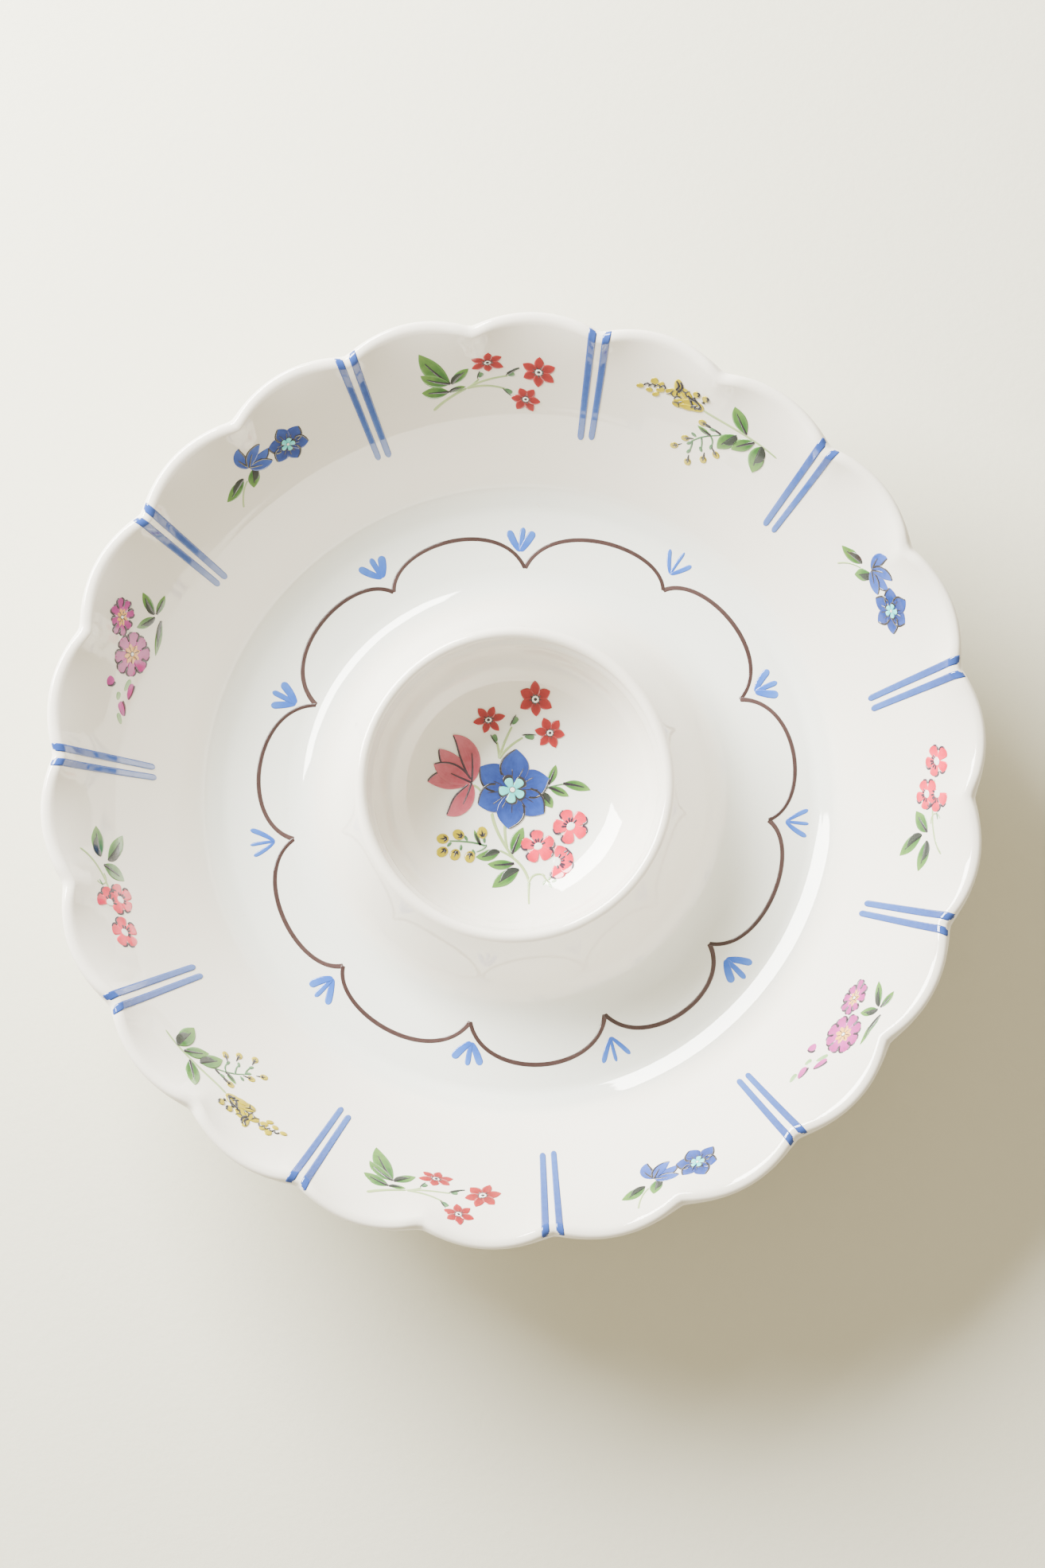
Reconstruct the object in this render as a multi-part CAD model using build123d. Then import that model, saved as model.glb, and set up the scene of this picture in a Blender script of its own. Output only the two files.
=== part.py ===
from build123d import *
import os
from math import acos, cos, degrees, radians, sin, tan

# Chip and dip server: a scalloped stoneware dish with a dip bowl fixed in its middle.
# Millimetres, +Z up, origin on the table under the centre of the dish.
# The -Y direction runs through a notch of the scalloped rim.

# ---- driving dimensions -------------------------------------------------------------
across_lobes = 368.0        # over two opposite rim lobes
height = 76.0               # table to the top of the rim
lobe_count = 22             # scallops round the rim
scallop_depth = 5.5         # how far a notch lies inside the lobes
lip_radius = 2.4            # rounded edge of the rim
crown_half_angle = 15.0     # the lip's flat crown, measured about its centre line

foot_height = 6.0           # clear space between the table and the underside
floor_thickness = 8.0       # clay under the well
well_floor_radius = 112.0   # flat part of the well, before it curves up into the wall
well_corner_radius = 22.0   # inside corner between the well and the wall
wall_angle = 48.0           # where the corner curve ends, measured from level
scallop_fade_height = 26.0  # how far down the wall the scallops can be felt

bowl_base_radius = 93.0     # where the dip bowl's flare runs out into the well
bowl_flare_radius = 21.0    # concave flare from the bowl's flank down to the well
bowl_flank_angle = 66.0     # outside of the bowl above the flare, measured from level
bowl_lip_outer_radius = 63.0
bowl_lip_radius = 2.6
bowl_height_above_well = 39.0
bowl_inside_radius = 56.0   # top of the bowl's rounded inside
bowl_floor_radius = 25.0
bowl_floor_above_well = 2.0
bowl_wall_thickness = 8.0
# The bowl and its skirt are one wall of clay on the object, and are divided here so that
# each is a simple shape beside the hollow between them.
shoulder_z = 44.0           # top of the dividing line, on the flank under the rim
skirt_seam_z = 29.0         # bottom of the dividing line, at the top of the hollow

outer_foot_radius = 112.0
outer_foot_width = 10.0
inner_foot_radius = 25.0
inner_foot_width = 7.0
foot_edge_chamfer = 1.5

# ---- worked out from the above ------------------------------------------------------
lobe_radius = across_lobes / 2
mean_lip_centre_radius = lobe_radius - scallop_depth / 2 - lip_radius
lip_centre_z = height - lip_radius * cos(radians(crown_half_angle))
well_z = foot_height + floor_thickness
well_corner = (well_floor_radius, well_z + well_corner_radius)
under_corner_radius = well_corner_radius + floor_thickness
bowl_top_z = well_z + bowl_height_above_well
bowl_floor_z = well_z + bowl_floor_above_well
bowl_under_z = bowl_floor_z - bowl_wall_thickness
lobe_angle = 360.0 / lobe_count
first_notch_angle = 270.0


def polar(radius, angle):
    """A point at this radius and angle in degrees, from the first axis to the second."""
    return radius * cos(radians(angle)), radius * sin(radians(angle))


def on_arc(centre, radius, angle):
    """A point on a profile arc, at an angle from straight down; negative is inward."""
    return centre[0] + radius * sin(radians(angle)), centre[1] - radius * cos(radians(angle))


def scalloped_wire(centre_radius, depth, offset, z):
    """A closed outline of equal lobes: one arc from notch to notch over each lobe."""
    notch_radius = centre_radius - depth / 2 + offset
    peak_radius = centre_radius + depth / 2 + offset
    arcs = []
    for lobe in range(lobe_count):
        start = first_notch_angle + lobe * lobe_angle
        points = [
            (*polar(notch_radius, start), z),
            (*polar(peak_radius, start + lobe_angle / 2), z),
            (*polar(notch_radius, start + lobe_angle), z),
        ]
        arcs.append(Edge.make_three_point_arc(*points))
    return Wire(arcs)


def wall_points():
    """Where the wall's inside and outside faces begin and end, as (radius, z)."""
    inside_start = on_arc(well_corner, well_corner_radius, wall_angle)
    outside_start = on_arc(well_corner, under_corner_radius, wall_angle)
    inside_offset, inside_rise = polar(lip_radius, wall_angle + 90)
    outside_offset, outside_rise = polar(lip_radius, wall_angle - 90)
    inside_end = (mean_lip_centre_radius + inside_offset, lip_centre_z + inside_rise)
    outside_end = (mean_lip_centre_radius + outside_offset, lip_centre_z + outside_rise)
    return inside_start, inside_end, outside_start, outside_end


def radius_on_line(start, end, z):
    """Radius at height z on the straight wall line from start to end."""
    return start[0] + (end[0] - start[0]) * (z - start[1]) / (end[1] - start[1])


def wall_levels(start, end, steps):
    """Outlines up one face of the wall, whose scallops deepen towards the lip."""
    fade_z = height - scallop_fade_height
    wires = []
    for step in range(steps + 1):
        share = step / steps
        z = fade_z + (end[1] - fade_z) * share
        depth = scallop_depth * share ** 3
        wires.append(scalloped_wire(radius_on_line(start, end, z), depth, 0.0, z))
    return wires


def lip_levels(angles):
    """Outlines round the rounded lip, at the given angles about its centre line."""
    wires = []
    for angle in angles:
        offset, rise = polar(lip_radius, angle)
        z = lip_centre_z + rise
        wires.append(scalloped_wire(mean_lip_centre_radius, scallop_depth, offset, z))
    return wires


def scalloped_rim():
    """The upper band of the wall with its rounded, scalloped lip."""
    inside_start, inside_end, outside_start, outside_end = wall_points()
    fade_steps = 4
    outside = wall_levels(outside_start, outside_end, fade_steps)
    outside += lip_levels([0, 40, 90 - crown_half_angle])
    inside = wall_levels(inside_start, inside_end, fade_steps)
    inside += lip_levels([90 + crown_half_angle])
    return Solid.make_loft(outside, ruled=True) - Solid.make_loft(inside, ruled=True)


def lower_dish():
    """Ring-shaped well floor round the bowl, the corner curve and the lower wall."""
    inside_start, inside_end, outside_start, outside_end = wall_points()
    fade_z = height - scallop_fade_height
    inside_middle = on_arc(well_corner, well_corner_radius, wall_angle / 2)
    outside_middle = on_arc(well_corner, under_corner_radius, wall_angle / 2)
    with BuildPart() as dish:
        with BuildSketch(Plane.XZ):
            with BuildLine():
                Polyline((bowl_base_radius, foot_height), (bowl_base_radius, well_z),
                         (well_floor_radius, well_z))
                ThreePointArc((well_floor_radius, well_z), inside_middle, inside_start)
                Polyline(inside_start, (radius_on_line(inside_start, inside_end, fade_z), fade_z),
                         (radius_on_line(outside_start, outside_end, fade_z), fade_z), outside_start)
                ThreePointArc(outside_start, outside_middle, (well_floor_radius, foot_height))
                Line((well_floor_radius, foot_height), (bowl_base_radius, foot_height))
            make_face()
        revolve(axis=Axis.Z)
    return dish.part


def platter():
    return lower_dish() + scalloped_rim()


def skirt_line(z, start):
    """The skirt's straight flank, or its inner face, at height z above its start."""
    return start[0] - (z - start[1]) / tan(radians(bowl_flank_angle)), z


def bowl_arcs():
    """Centres and ends of the arcs that the dip bowl and its skirt share."""
    inside_corner = bowl_inside_radius - bowl_floor_radius
    cup_centre = (bowl_floor_radius, bowl_floor_z + inside_corner)
    flare_centre = (bowl_base_radius, well_z + bowl_flare_radius)
    flare_end = on_arc(flare_centre, bowl_flare_radius, -bowl_flank_angle)
    return inside_corner, cup_centre, flare_centre, flare_end


def dip_bowl():
    """The bowl's round inside wall and rounded lip, down to where the skirt leaves it."""
    inside_corner, cup_centre, _, flare_end = bowl_arcs()
    back_radius = inside_corner + bowl_wall_thickness
    shoulder_angle = degrees(acos((cup_centre[1] - shoulder_z) / back_radius))
    lip_centre = (bowl_lip_outer_radius - bowl_lip_radius, bowl_top_z - bowl_lip_radius)
    lip_outside = on_arc(lip_centre, bowl_lip_radius, 180 - bowl_flank_angle)
    lip_inside = on_arc(lip_centre, bowl_lip_radius, -90)
    with BuildPart() as bowl:
        with BuildSketch(Plane.XZ):
            with BuildLine():
                Polyline((bowl_floor_radius, bowl_under_z), (0, bowl_under_z), (0, bowl_floor_z),
                         (bowl_floor_radius, bowl_floor_z))
                ThreePointArc((bowl_floor_radius, bowl_floor_z), on_arc(cup_centre, inside_corner, 45),
                              on_arc(cup_centre, inside_corner, 90))
                Line(on_arc(cup_centre, inside_corner, 90), lip_inside)
                ThreePointArc(lip_inside, on_arc(lip_centre, bowl_lip_radius, 180), lip_outside)
                Polyline(lip_outside, skirt_line(shoulder_z, flare_end),
                         on_arc(cup_centre, back_radius, shoulder_angle))
                ThreePointArc(on_arc(cup_centre, back_radius, shoulder_angle),
                              on_arc(cup_centre, back_radius, shoulder_angle / 2),
                              (bowl_floor_radius, bowl_under_z))
            make_face()
        revolve(axis=Axis.Z)
    return bowl.part


def bowl_skirt():
    """The bowl's flared outside wall, from its shoulder down to the well's floor."""
    inside_corner, cup_centre, flare_centre, flare_end = bowl_arcs()
    back_radius = inside_corner + bowl_wall_thickness
    under_radius = bowl_flare_radius + floor_thickness
    under_end = on_arc(flare_centre, under_radius, -bowl_flank_angle)
    shoulder_angle = degrees(acos((cup_centre[1] - shoulder_z) / back_radius))
    seam_angle = degrees(acos((cup_centre[1] - skirt_seam_z) / back_radius))
    with BuildPart() as skirt:
        with BuildSketch(Plane.XZ):
            with BuildLine():
                Polyline(on_arc(cup_centre, back_radius, shoulder_angle), skirt_line(shoulder_z, flare_end),
                         flare_end)
                ThreePointArc(flare_end, on_arc(flare_centre, bowl_flare_radius, -bowl_flank_angle / 2),
                              (bowl_base_radius, well_z))
                Line((bowl_base_radius, well_z), (bowl_base_radius, foot_height))
                ThreePointArc((bowl_base_radius, foot_height),
                              on_arc(flare_centre, under_radius, -bowl_flank_angle / 2), under_end)
                Polyline(under_end, skirt_line(skirt_seam_z, under_end),
                         on_arc(cup_centre, back_radius, seam_angle))
                ThreePointArc(on_arc(cup_centre, back_radius, seam_angle),
                              on_arc(cup_centre, back_radius, (seam_angle + shoulder_angle) / 2),
                              on_arc(cup_centre, back_radius, shoulder_angle))
            make_face()
        revolve(axis=Axis.Z)
    return skirt.part


def foot_ring(outer_radius, width, top_z):
    """Turned ring on the underside, with its standing edges taken off."""
    inner_radius = outer_radius - width
    with BuildPart() as ring:
        with BuildSketch(Plane.XZ):
            with BuildLine():
                Polyline((inner_radius, top_z), (inner_radius, foot_edge_chamfer),
                         (inner_radius + foot_edge_chamfer, 0), (outer_radius - foot_edge_chamfer, 0),
                         (outer_radius, foot_edge_chamfer), (outer_radius, top_z), close=True)
            make_face()
        revolve(axis=Axis.Z)
    return ring.part


parts = {
    "platter": platter(),
    "dip_bowl": dip_bowl(),
    "bowl_skirt": bowl_skirt(),
    "outer_foot_ring": foot_ring(outer_foot_radius, outer_foot_width, foot_height),
    "inner_foot_ring": foot_ring(inner_foot_radius, inner_foot_width, bowl_under_z),
}

os.makedirs("parts", exist_ok=True)
for name, part in parts.items():
    export_step(part, f"parts/{name}.step")
    print(name, "solids", len(part.solids()), "volume", round(part.volume))
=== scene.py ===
# %% [markdown]
# # A scalloped chip and dip server
# The real object is one piece of white glazed stoneware: a wide dish whose rim is pressed
# into scallops, with a small round bowl standing in its middle for the dip. Under the clear
# glaze it is hand painted: pairs of blue bars on the wall, a brown scalloped line and
# little blue sprigs in the well, and garden flowers between the bars and inside the bowl.
# The measured model gives every size. This script gives it its surfaces and its painting.

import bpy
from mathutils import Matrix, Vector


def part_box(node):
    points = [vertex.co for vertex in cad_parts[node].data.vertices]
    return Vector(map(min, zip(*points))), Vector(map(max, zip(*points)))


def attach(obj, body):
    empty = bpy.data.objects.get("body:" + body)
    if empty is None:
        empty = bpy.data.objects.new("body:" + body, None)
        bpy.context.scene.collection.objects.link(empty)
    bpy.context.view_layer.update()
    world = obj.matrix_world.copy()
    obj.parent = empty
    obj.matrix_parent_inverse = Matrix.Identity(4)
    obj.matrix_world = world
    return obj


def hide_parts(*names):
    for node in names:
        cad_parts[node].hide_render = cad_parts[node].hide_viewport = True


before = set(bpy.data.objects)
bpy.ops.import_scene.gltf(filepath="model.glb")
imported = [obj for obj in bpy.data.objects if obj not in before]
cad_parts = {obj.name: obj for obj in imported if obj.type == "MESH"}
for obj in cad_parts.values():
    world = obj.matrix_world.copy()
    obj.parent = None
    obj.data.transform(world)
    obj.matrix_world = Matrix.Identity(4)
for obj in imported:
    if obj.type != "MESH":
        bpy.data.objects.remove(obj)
print("nodes:", ", ".join(sorted(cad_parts)))

# %% Read the sizes that everything else follows
import random
from bisect import bisect_left
from math import acos, atan2, ceil, cos, exp, hypot, pi, radians, sin, sqrt, tan

import bmesh
import bpy
from mathutils import Matrix, Vector

mm = 0.001
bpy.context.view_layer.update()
dish_low, dish_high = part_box("platter")
bowl_low, bowl_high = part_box("dip_bowl")
_, skirt_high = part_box("bowl_skirt")
_, outer_foot_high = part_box("outer_foot_ring")
_, inner_foot_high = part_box("inner_foot_ring")

rim_radius = dish_high.x
rim_top = dish_high.z
underside = dish_low.z
bowl_top = bowl_high.z
bowl_underside = bowl_low.z
joint_radius = skirt_high.x
well_floor = 14 * mm
lobes = 22
lobe_turn = 2 * pi / lobes
first_notch = -pi / 2
print(f"rim {rim_radius / mm:.1f} mm radius, {rim_top / mm:.1f} mm high; bowl top {bowl_top / mm:.1f} mm")

# %% [markdown]
# ## Camera
# The camera hangs almost straight above the dish, nine degrees off the vertical, as for a
# picture in a catalogue. A long lens from far away keeps the circles round. The view is
# turned a little about the vertical, so a notch of the rim is not exactly at the top.

# %% Place the camera
view_azimuth = radians(281)
view_elevation = radians(81)
view_turn = radians(84.85)
camera_distance = 2.6
frame_height = 0.607
sensor = 36.0
right_of_rim = 4.2 * mm
below_rim = 3.5 * mm


def heading(azimuth, elevation):
    """The unit vector that points at this azimuth and elevation."""
    level = cos(elevation)
    return Vector((level * cos(azimuth), level * sin(azimuth), sin(elevation)))


def aimed(place, backwards, roughly_up):
    """A matrix at place whose local Z points backwards and local Y roughly up."""
    z_axis = backwards.normalized()
    x_axis = roughly_up.cross(z_axis).normalized()
    y_axis = z_axis.cross(x_axis)
    return Matrix.Translation(place) @ Matrix((x_axis, y_axis, z_axis)).transposed().to_4x4()


towards_camera = heading(view_azimuth, view_elevation)
picture_up = heading(view_turn, 0)
picture = aimed(Vector((0, 0, rim_top)), towards_camera, picture_up)
looked_at = picture @ Vector((right_of_rim, -below_rim, 0))
camera_lens = bpy.data.cameras.new("catalogue_camera")
camera_lens.sensor_width = sensor
camera_lens.lens = sensor * camera_distance / frame_height
camera_lens.clip_end = 20
camera = bpy.data.objects.new("catalogue_camera", camera_lens)
camera.matrix_world = aimed(looked_at + towards_camera * camera_distance, towards_camera, picture_up)
bpy.context.scene.collection.objects.link(camera)
bpy.context.scene.camera = camera
print(f"lens {camera_lens.lens:.0f} mm, {camera_distance} m away")

# %% [markdown]
# ## Light
# One large soft box stands low on one side. It lights the far wall of the dish, leaves the
# near wall in soft shade, and is seen again in the gloss of the glaze as long bright
# curves. Warm light from all round fills the shade.

# %% Build the lights
key_azimuth = radians(130)
key_elevation = radians(34)
key_distance = 1.4
key_size = (1.1, 0.68)
key_watts = 156
key_colour = (1.0, 1.0, 0.95)
fill_colour = (1.0, 0.88, 0.62)
fill_strength = 0.98


def soft_box(name, azimuth, elevation, distance, size, watts, colour):
    """A rectangular lamp that looks at the middle of the dish."""
    lamp = bpy.data.lights.new(name, "AREA")
    lamp.shape = "RECTANGLE"
    lamp.size, lamp.size_y = size
    lamp.energy = watts
    lamp.color = colour
    box = bpy.data.objects.new(name, lamp)
    away = heading(azimuth, elevation)
    box.matrix_world = aimed(away * distance, away, Vector((0, 0, 1)))
    bpy.context.scene.collection.objects.link(box)
    return box


soft_box("key_soft_box", key_azimuth, key_elevation, key_distance, key_size, key_watts, key_colour)
room = bpy.data.worlds.new("warm_room")
room.use_nodes = True
room.node_tree.nodes["Background"].inputs["Color"].default_value = (*fill_colour, 1)
room.node_tree.nodes["Background"].inputs["Strength"].default_value = fill_strength
bpy.context.scene.world = room
print("one soft box and a warm room")

# %% [markdown]
# ## Writing a finish as a sum
# A finish is a tree of nodes. Wiring each node by hand hides the idea, so two small
# classes let it be written as arithmetic: `Value` stands for one output socket, and adding
# or multiplying values makes the Math nodes. Every other node comes from `Finish.node`.

# %% A value that can be used in sums
class Value:
    """One output of a node, which can be used in sums."""

    def __init__(self, finish, socket):
        self.finish = finish
        self.socket = socket

    def math(self, operation, first, second=0.0):
        return self.finish.node("ShaderNodeMath", {"operation": operation}, {0: first, 1: second})

    def __add__(self, other):
        return self.math("ADD", self, other)

    def __sub__(self, other):
        return self.math("SUBTRACT", self, other)

    def __rsub__(self, other):
        return self.math("SUBTRACT", other, self)

    def __mul__(self, other):
        return self.math("MULTIPLY", self, other)

    def __truediv__(self, other):
        return self.math("DIVIDE", self, other)

    def __pow__(self, other):
        return self.math("POWER", self, other)

    def __abs__(self):
        return self.math("ABSOLUTE", self)

    __radd__ = __add__
    __rmul__ = __mul__


print("values can be added, taken away, multiplied, divided and raised")

# %% [markdown]
# ## A finish under construction
# A `Finish` owns one material while it is being mixed. Its one general method makes any
# node from its kind, its settings and what goes into its sockets. The short methods after
# it name the few nodes that are used again and again: noise, a ramp, a blend and a bump.

# %% The finish helper
class Finish:
    """A material under construction."""

    def __init__(self, name):
        self.material = bpy.data.materials.new(name)
        self.material.use_nodes = True
        self.nodes = self.material.node_tree.nodes
        self.links = self.material.node_tree.links
        self.nodes.clear()

    def node(self, kind, settings=None, sockets=None, output=0):
        """Make a node, set it up, plug values or links into its sockets, return an output."""
        made = self.nodes.new(kind)
        for name, setting in (settings or {}).items():
            if name == "stops":
                self.set_stops(made.color_ramp, setting)
            else:
                setattr(made, name, setting)
        for name, value in (sockets or {}).items():
            if isinstance(value, Value):
                self.links.new(value.socket, made.inputs[name])
            else:
                made.inputs[name].default_value = value
        return Value(self, made.outputs[output]) if len(made.outputs) else None

    @staticmethod
    def set_stops(ramp, stops):
        """Give a colour ramp its (place, grey) stops."""
        while len(ramp.elements) < len(stops):
            ramp.elements.new(1.0)
        for element, (place, grey) in zip(ramp.elements, stops):
            element.position = place
            element.color = (grey, grey, grey, 1)

    def place(self):
        """Where the point is on the object."""
        return self.node("ShaderNodeTexCoord", output="Object")

    def axes(self, vector):
        """The three parts of a vector."""
        split = self.node("ShaderNodeSeparateXYZ", sockets={"Vector": vector})
        return [Value(self, out) for out in split.socket.node.outputs]

    def noise(self, where, scale, detail=2.0, roughness=0.5):
        """Cloudy noise from 0 to 1."""
        sockets = {"Vector": where, "Scale": scale, "Detail": detail, "Roughness": roughness}
        return self.node("ShaderNodeTexNoise", sockets=sockets)

    def ramp(self, value, *stops):
        """Read a value off a curve of (place, grey) stops."""
        return self.node("ShaderNodeValToRGB", {"stops": stops}, {"Fac": value})

    def blend(self, share, first, second):
        """Mix two colours, by a share from 0 to 1."""
        pair = [(*c, 1) if isinstance(c, tuple) else c for c in (first, second)]
        sockets = {0: share, 6: pair[0], 7: pair[1]}
        return self.node("ShaderNodeMix", {"data_type": "RGBA"}, sockets, output=2)

    def bump(self, height, distance, strength=1.0):
        """A surface normal raised by a height from 0 to 1, times a distance in metres."""
        return self.node("ShaderNodeBump", sockets={"Height": height, "Distance": distance,
                                                    "Strength": strength})

    def finished(self, sockets):
        """Put a Principled surface on the end and return the material."""
        surface = self.node("ShaderNodeBsdfPrincipled", sockets=sockets)
        self.node("ShaderNodeOutputMaterial", sockets={"Surface": surface})
        return self.material


print("finish helpers ready")

# %% [markdown]
# ## White glaze
# A tin-white glaze over pale clay is never one flat white. Its colour is painted a little
# cooler on and just above the level floor, as painted reflection of the room above, and
# darker and warmer on the wall, as painted shade. The fingers of the thrower leave faint
# rings that only the reflections show. The rings are a one-way noise of the distance from the axis.

# %% Mix the white glaze
# Painted light: the cool colour stands for reflection on the level floor, the warmer, darker one for
# shade on the wall.
glaze_painted_cool_reflection = (0.80, 0.84, 0.805)
glaze_painted_warm_shade = (0.83, 0.785, 0.715)
glaze_freckle = (0.74, 0.70, 0.62)
cool_reflection_full_height = well_floor + 0.5 * mm
cool_reflection_end_height = well_floor + 6.5 * mm


def throwing_rings(finish, where):
    """Rings round the axis, uneven in width, that fade in and out along the way round."""
    x, y, _ = finish.axes(where)
    radius = (x * x + y * y) ** 0.5
    rings = finish.node("ShaderNodeTexNoise", {"noise_dimensions": "1D"},
                        {"W": radius, "Scale": 330.0, "Detail": 1.5, "Roughness": 0.45})
    patches = finish.noise(where, 14.0)
    return rings * patches


def glaze_colour(finish, where):
    """White, with painted cool reflection near the floor and painted warm shade on the wall, and a few
    iron freckles.
    """
    _, _, z = finish.axes(where)
    # The share by height: painted cool reflection low down, painted warm shade higher up.
    painted_reflection_share = finish.ramp(z, (cool_reflection_full_height, 1.0), (cool_reflection_end_height, 0.0))
    cloud = finish.noise(where, 22.0, 3.0)
    colour = finish.blend(painted_reflection_share * 0.85 + cloud * 0.15, glaze_painted_warm_shade, glaze_painted_cool_reflection)
    freckles = finish.ramp(finish.noise(where, 520.0, 1.0), (0.735, 0.0), (0.80, 1.0))
    return finish.blend(freckles * 0.35, colour, glaze_freckle)


def glazed(finish, where, colour):
    """The sockets of a colour that lies under the clear, faintly rippled glaze."""
    height = throwing_rings(finish, where) * 0.8 + finish.noise(where, 75.0, 2.0) * 0.35
    return {
        "Base Color": colour,
        "Roughness": 0.03 + finish.noise(where, 30.0) * 0.025,
        "Normal": finish.bump(height, 0.06 * mm),
        "IOR": 1.65,
    }


def white_glaze():
    """The finish of every glazed surface that has no paint on it."""
    finish = Finish("white_glaze")
    where = finish.place()
    return finish.finished(glazed(finish, where, glaze_colour(finish, where)))


glaze = white_glaze()
print("made", glaze.name)

# %% [markdown]
# ## Bare stoneware with a glaze line
# Before the glaze firing the potter wipes the foot rings, or they would weld themselves
# to the kiln shelf. So each ring stands on bare buff clay with iron specks, and a wavering
# line a few millimetres up shows where the glaze begins.

# %% Mix the bare stoneware
clay_buff = (0.60, 0.51, 0.40)
clay_pale = (0.72, 0.64, 0.53)
clay_iron = (0.16, 0.10, 0.07)
glaze_line = 4.2 * mm
glaze_line_wander = 2.2 * mm


def wiped_stoneware():
    """Bare clay with iron specks, and glaze above a wavering line."""
    finish = Finish("bare_stoneware")
    where = finish.place()
    _, _, z = finish.axes(where)
    grain = finish.noise(where, 900.0, 4.0, 0.7)
    colour = finish.blend(finish.noise(where, 60.0, 3.0), clay_buff, clay_pale)
    specks = finish.ramp(finish.noise(where, 420.0, 2.0), (0.68, 0.0), (0.73, 1.0))
    colour = finish.blend(specks * 0.8, colour, clay_iron)
    line = z + finish.noise(where, 90.0) * glaze_line_wander
    covered = finish.ramp(line, (glaze_line, 0.0), (glaze_line + 0.4 * mm, 1.0))
    # Above the glaze line the foot takes the wall glaze colour, with its painted warm shade.
    colour = finish.blend(covered, colour, glaze_painted_warm_shade)
    rough = 0.85 - covered * 0.78
    return finish.finished({
        "Base Color": colour,
        "Roughness": rough,
        "Normal": finish.bump(grain * (1 - covered), 0.12 * mm),
    })


stoneware = wiped_stoneware()
print("made", stoneware.name)

# %% [markdown]
# ## The table top
# The dish stands on a plain pale sheet of matt card, much larger than the view, so that no
# edge of it shows.

# %% Lay the table top
card_colour = (0.675, 0.66, 0.555)
sheet_half_width = 4.0


def card():
    """Matt card with a faint fibre."""
    finish = Finish("pale_card")
    where = finish.place()
    fibres = finish.noise(where, 260.0, 4.0, 0.65)
    tint = finish.blend(finish.noise(where, 3.0), card_colour, tuple(0.97 * c for c in card_colour))
    return finish.finished({
        "Base Color": tint,
        "Roughness": 0.9,
        "Normal": finish.bump(fibres, 0.12 * mm),
    })


def table_top(half_width):
    """One large flat sheet under the dish."""
    sheet = bmesh.new()
    bmesh.ops.create_grid(sheet, x_segments=8, y_segments=8, size=half_width)
    mesh = bpy.data.meshes.new("table_top")
    sheet.to_mesh(mesh)
    sheet.free()
    mesh.materials.append(card())
    top = bpy.data.objects.new("table_top", mesh)
    bpy.context.scene.collection.objects.link(top)
    return top


table_top(sheet_half_width)
print("table top laid")

# %% [markdown]
# ## Turning a shape from its outline
# Everything here is round, so every body begins as half of its own cross-section: a few
# corners, each with the radius that rounds it. First the corners become legs, straight
# runs and arcs. A pen follows the legs: it extrudes a vertex along each straight run, and
# spins it round the centre of each arc. Then the outline is spun about the axis, first
# through one lobe, and the finished lobe is spun again to make all of them.

# %% From corners to legs
def legs_of(corners):
    """Each straight run or arc of a rounded outline: length, start, direction, bend."""
    spots = [Vector((radius, height)) for radius, height, _ in corners]
    legs = []
    pen = spots[0]
    for index in range(1, len(corners)):
        run = spots[index] - spots[index - 1]
        direction = atan2(run.y, run.x)
        turn, cut, rounding = 0.0, 0.0, corners[index][2]
        if rounding:
            onward = spots[index + 1] - spots[index]
            turn = (atan2(onward.y, onward.x) - direction + pi) % (2 * pi) - pi
            cut = rounding * tan(abs(turn) / 2)
        straight = (spots[index] - pen).length - cut
        if straight > weld:
            legs.append((straight, pen, direction, 0.0))
        pen = spots[index] - run.normalized() * cut
        if rounding:
            bend = (1 if turn > 0 else -1) / rounding
            legs.append((abs(turn) * rounding, pen, direction, bend))
            pen = leg_point(legs[-1], legs[-1][0])[0]
    return legs


def leg_point(leg, distance):
    """The place and the direction at a distance along a leg."""
    _, start, direction, bend = leg
    if not bend:
        return start + Vector((cos(direction), sin(direction))) * distance, direction
    ahead = direction + bend * distance
    moved = Vector((sin(ahead) - sin(direction), cos(direction) - cos(ahead))) / bend
    return start + moved, ahead


weld = 0.001 * mm
print("a corner becomes", len(legs_of([(0, 0, 0), (1, 0, 0.2), (1, 1, 0)])), "legs")

# %% A helper that draws and turns an outline
steps_per_lobe = 24
arc_step = radians(4)
longest_edge = 3 * mm


def draw_leg(mesh, pen, leg):
    """Carry the pen vertex along one leg and return the vertex at its end."""
    length, start, direction, bend = leg
    if bend:
        centre = start + Vector((-sin(direction), cos(direction))) / bend
        parts = max(3, ceil(length * abs(bend) / arc_step))
        swept = bmesh.ops.spin(mesh, geom=[pen], cent=(centre.x, 0, centre.y), axis=(0, -1, 0),
                               angle=length * bend, steps=parts, use_duplicate=False)
        return next(item for item in swept["geom_last"] if isinstance(item, bmesh.types.BMVert))
    parts = ceil(length / longest_edge)
    for part in range(1, parts + 1):
        pen = bmesh.ops.extrude_vert_indiv(mesh, verts=[pen])["verts"][0]
        spot, _ = leg_point(leg, length * part / parts)
        pen.co = (spot.x, 0, spot.y)
    return pen


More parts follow.
